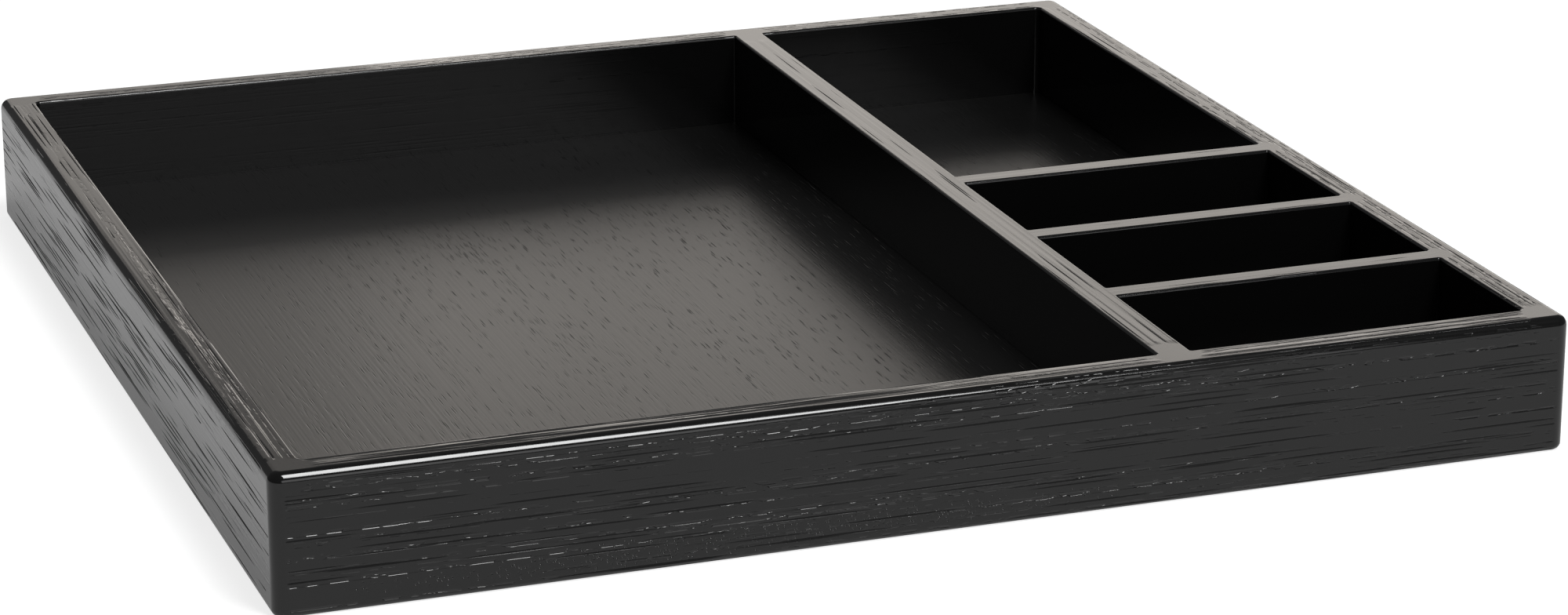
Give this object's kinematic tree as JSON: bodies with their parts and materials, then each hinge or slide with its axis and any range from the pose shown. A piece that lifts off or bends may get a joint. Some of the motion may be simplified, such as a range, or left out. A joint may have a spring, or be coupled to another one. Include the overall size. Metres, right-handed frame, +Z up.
{
  "type": "compartment tray",
  "caption": "Square low tray with a large compartment, a medium compartment and equal small slots, in black lacquered boards.",
  "frame": {"origin": "middle of the footprint, at the height of the table", "axes": "+X along the front wall from left to right, +Y from the front wall to the back wall, +Z up"},
  "size_m": [0.38, 0.38, 0.0405],
  "materials": {
    "lacquered_walls": "black satin lacquer over open grain",
    "lacquered_base": "black satin lacquer over fine grain",
    "lacquered_dividers": "black satin lacquer over open grain",
    "spline_bamboo": "raw, glued in"
  },
  "bodies": {
    "root": {"front_wall": "lacquered_walls", "back_wall": "lacquered_walls", "left_wall": "lacquered_walls", "right_wall": "lacquered_walls", "base_panel": "lacquered_base", "long_divider": "lacquered_dividers", "cross_divider_back": "lacquered_dividers", "cross_divider_middle": "lacquered_dividers", "cross_divider_front": "lacquered_dividers", "mitre_spline_front_left": "spline_bamboo", "mitre_spline_front_right": "spline_bamboo", "mitre_spline_back_left": "spline_bamboo", "mitre_spline_back_right": "spline_bamboo"}
  },
  "joints": []
}
